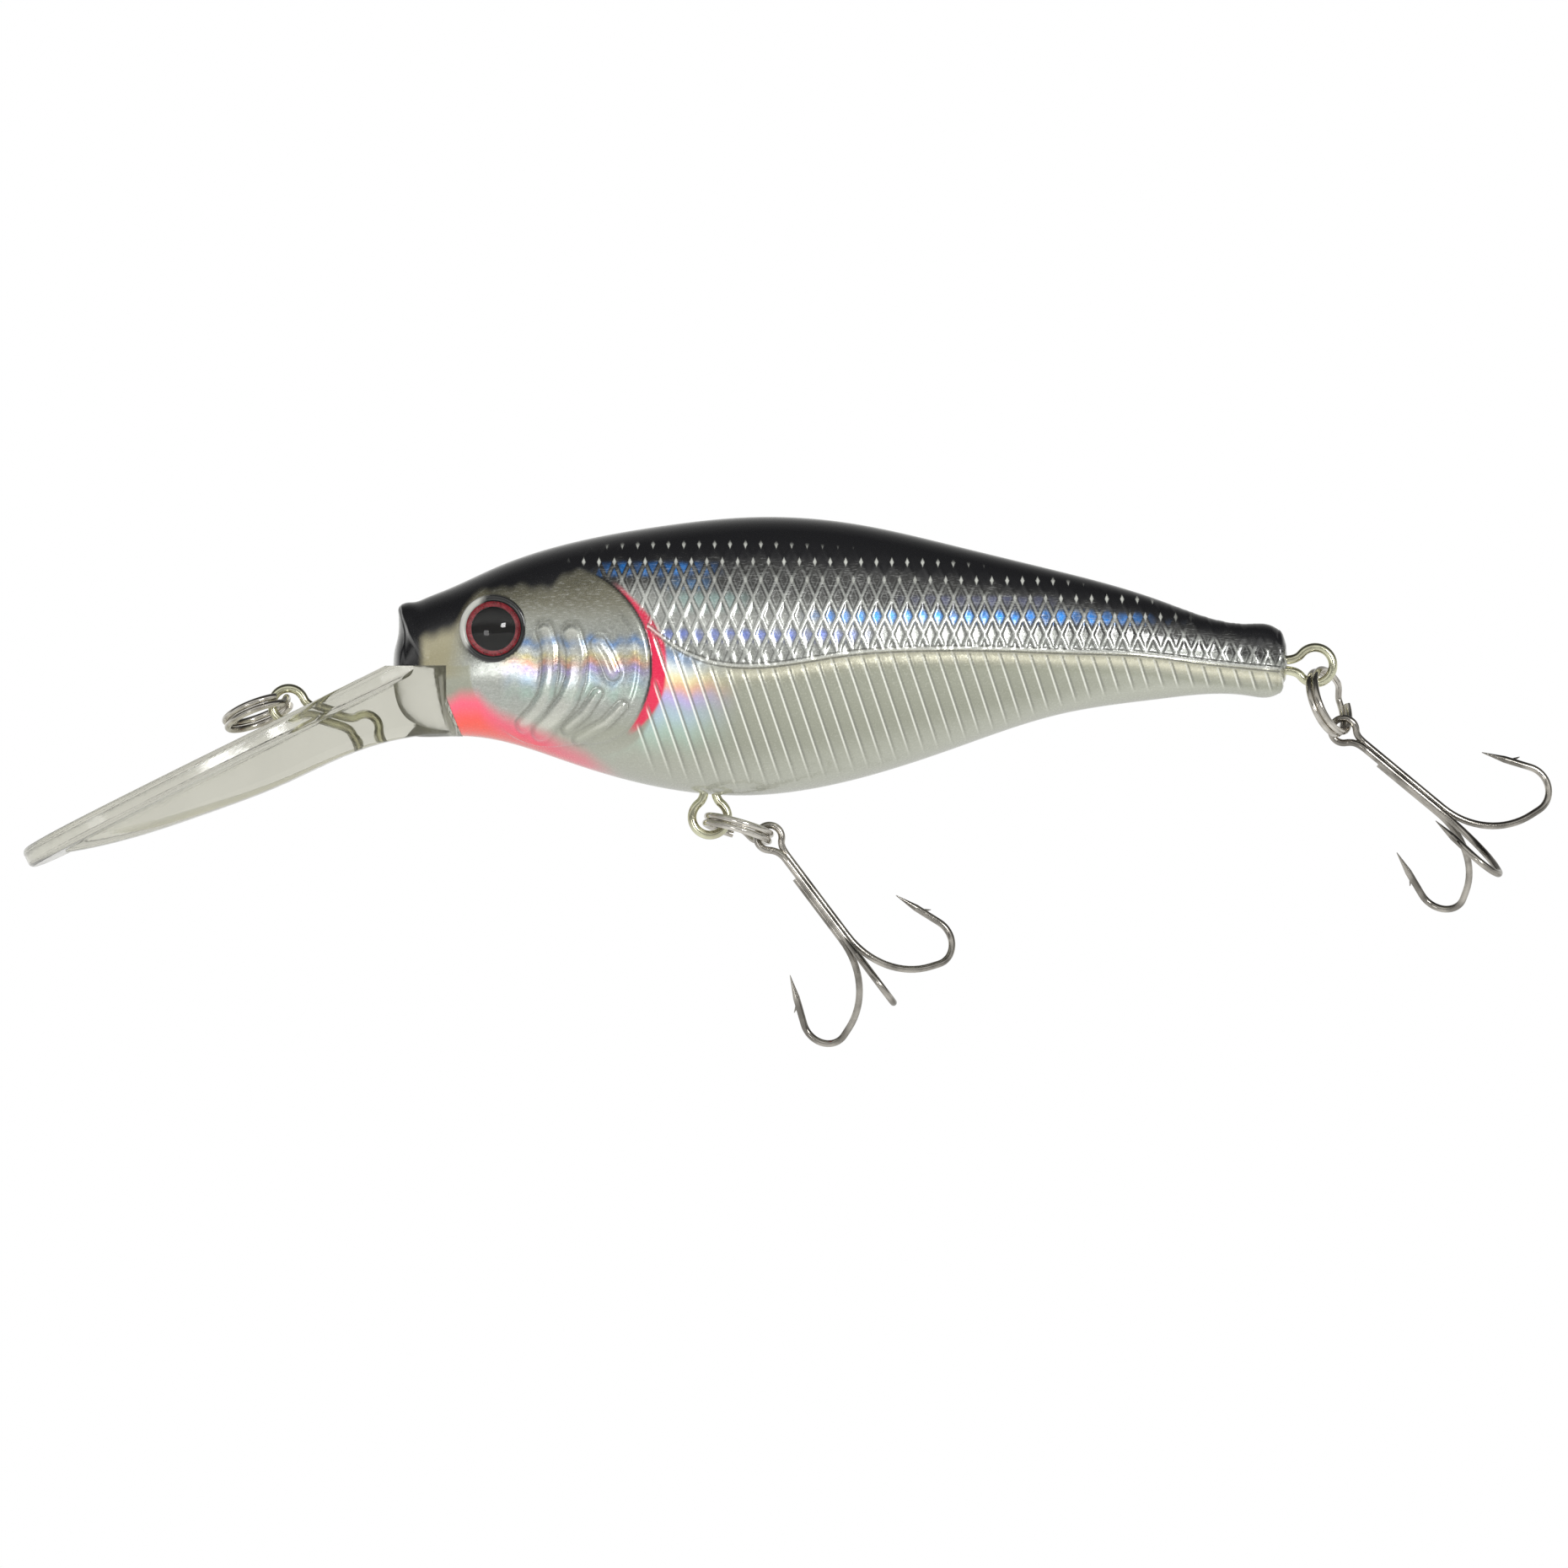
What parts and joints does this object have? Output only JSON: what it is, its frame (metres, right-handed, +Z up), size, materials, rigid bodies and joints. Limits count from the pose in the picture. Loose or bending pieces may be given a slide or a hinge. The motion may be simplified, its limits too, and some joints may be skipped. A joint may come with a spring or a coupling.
{
  "type": "crankbait lure",
  "caption": "Deep-diving hard-bodied fishing lure: hollow minnow body, clear sloping lip, split rings and swinging treble hooks.",
  "frame": {"origin": "centre of the line-tie eye on the lip", "axes": "+X from nose to tail, +Z up towards the back of the fish, -Y towards the fish's left side"},
  "size_m": [0.1199, 0.0174, 0.0416],
  "materials": {
    "painted_shell": "gloss paint over foil",
    "clear_lip": "polished clear plastic",
    "bright_wire": "bright drawn wire",
    "red_foil": "red foil with a black pupil",
    "clear_lens": "polished clear plastic",
    "ballast_metal": "dull",
    "ball_steel": "polished",
    "ring_steel": "nickel plate",
    "hook_steel": "dark nickel"
  },
  "bodies": {
    "lure_body": {"body_shell_left": "painted_shell", "body_shell_right": "painted_shell", "diving_lip": "clear_lip", "line_tie_wire": "bright_wire", "belly_hook_hanger": "bright_wire", "tail_hook_hanger": "bright_wire", "eye_disc_left": "red_foil", "eye_disc_right": "red_foil", "eye_lens_left": "clear_lens", "eye_lens_right": "clear_lens", "ballast_weight": "ballast_metal"},
    "line_tie_ring": {"line_tie_split_ring": "ring_steel"},
    "belly_ring": {"belly_split_ring": "ring_steel"},
    "tail_ring": {"tail_split_ring": "ring_steel"},
    "belly_treble": {"belly_treble_double_hook": "hook_steel", "belly_treble_single_hook": "hook_steel"},
    "tail_treble": {"tail_treble_double_hook": "hook_steel", "tail_treble_single_hook": "hook_steel"},
    "rattle_front": {"rattle_ball_front": "ball_steel"},
    "rattle_middle": {"rattle_ball_middle": "ball_steel"},
    "rattle_rear": {"rattle_ball_rear": "ball_steel"}
  },
  "joints": [
    {"name": "line_tie_ring_swing", "type": "hinge", "parent": "lure_body", "child": "line_tie_ring", "pos_m": [0, 0, 0], "axis": [0, 1, 0], "range_deg": [0, 115]},
    {"name": "belly_ring_swing", "type": "hinge", "parent": "lure_body", "child": "belly_ring", "pos_m": [0.033, 0, -0.0088], "axis": [0, 1, 0], "range_deg": [-12, 90]},
    {"name": "belly_treble_swing", "type": "hinge", "parent": "belly_ring", "child": "belly_treble", "pos_m": [0.03765, 0, -0.0104], "axis": [0, 1, 0], "range_deg": [-25, 50]},
    {"name": "tail_ring_swing", "type": "hinge", "parent": "lure_body", "child": "tail_ring", "pos_m": [0.0804, 0, 0.0031], "axis": [0, 1, 0], "range_deg": [-110, 40]},
    {"name": "tail_treble_swing", "type": "hinge", "parent": "tail_ring", "child": "tail_treble", "pos_m": [0.08266, 0.00049, -0.00201], "axis": [0.098, 0.9822, 0.1604], "range_deg": [-70, 85]},
    {"name": "front_ball_roll", "type": "slide", "parent": "lure_body", "child": "rattle_front", "axis": [1, 0, 0], "range_m": [-0.0015, 0.0015]},
    {"name": "middle_ball_roll", "type": "slide", "parent": "lure_body", "child": "rattle_middle", "axis": [1, 0, 0], "range_m": [-0.0015, 0.0015]},
    {"name": "rear_ball_roll", "type": "slide", "parent": "lure_body", "child": "rattle_rear", "axis": [1, 0, 0], "range_m": [-0.0015, 0.0015]}
  ]
}
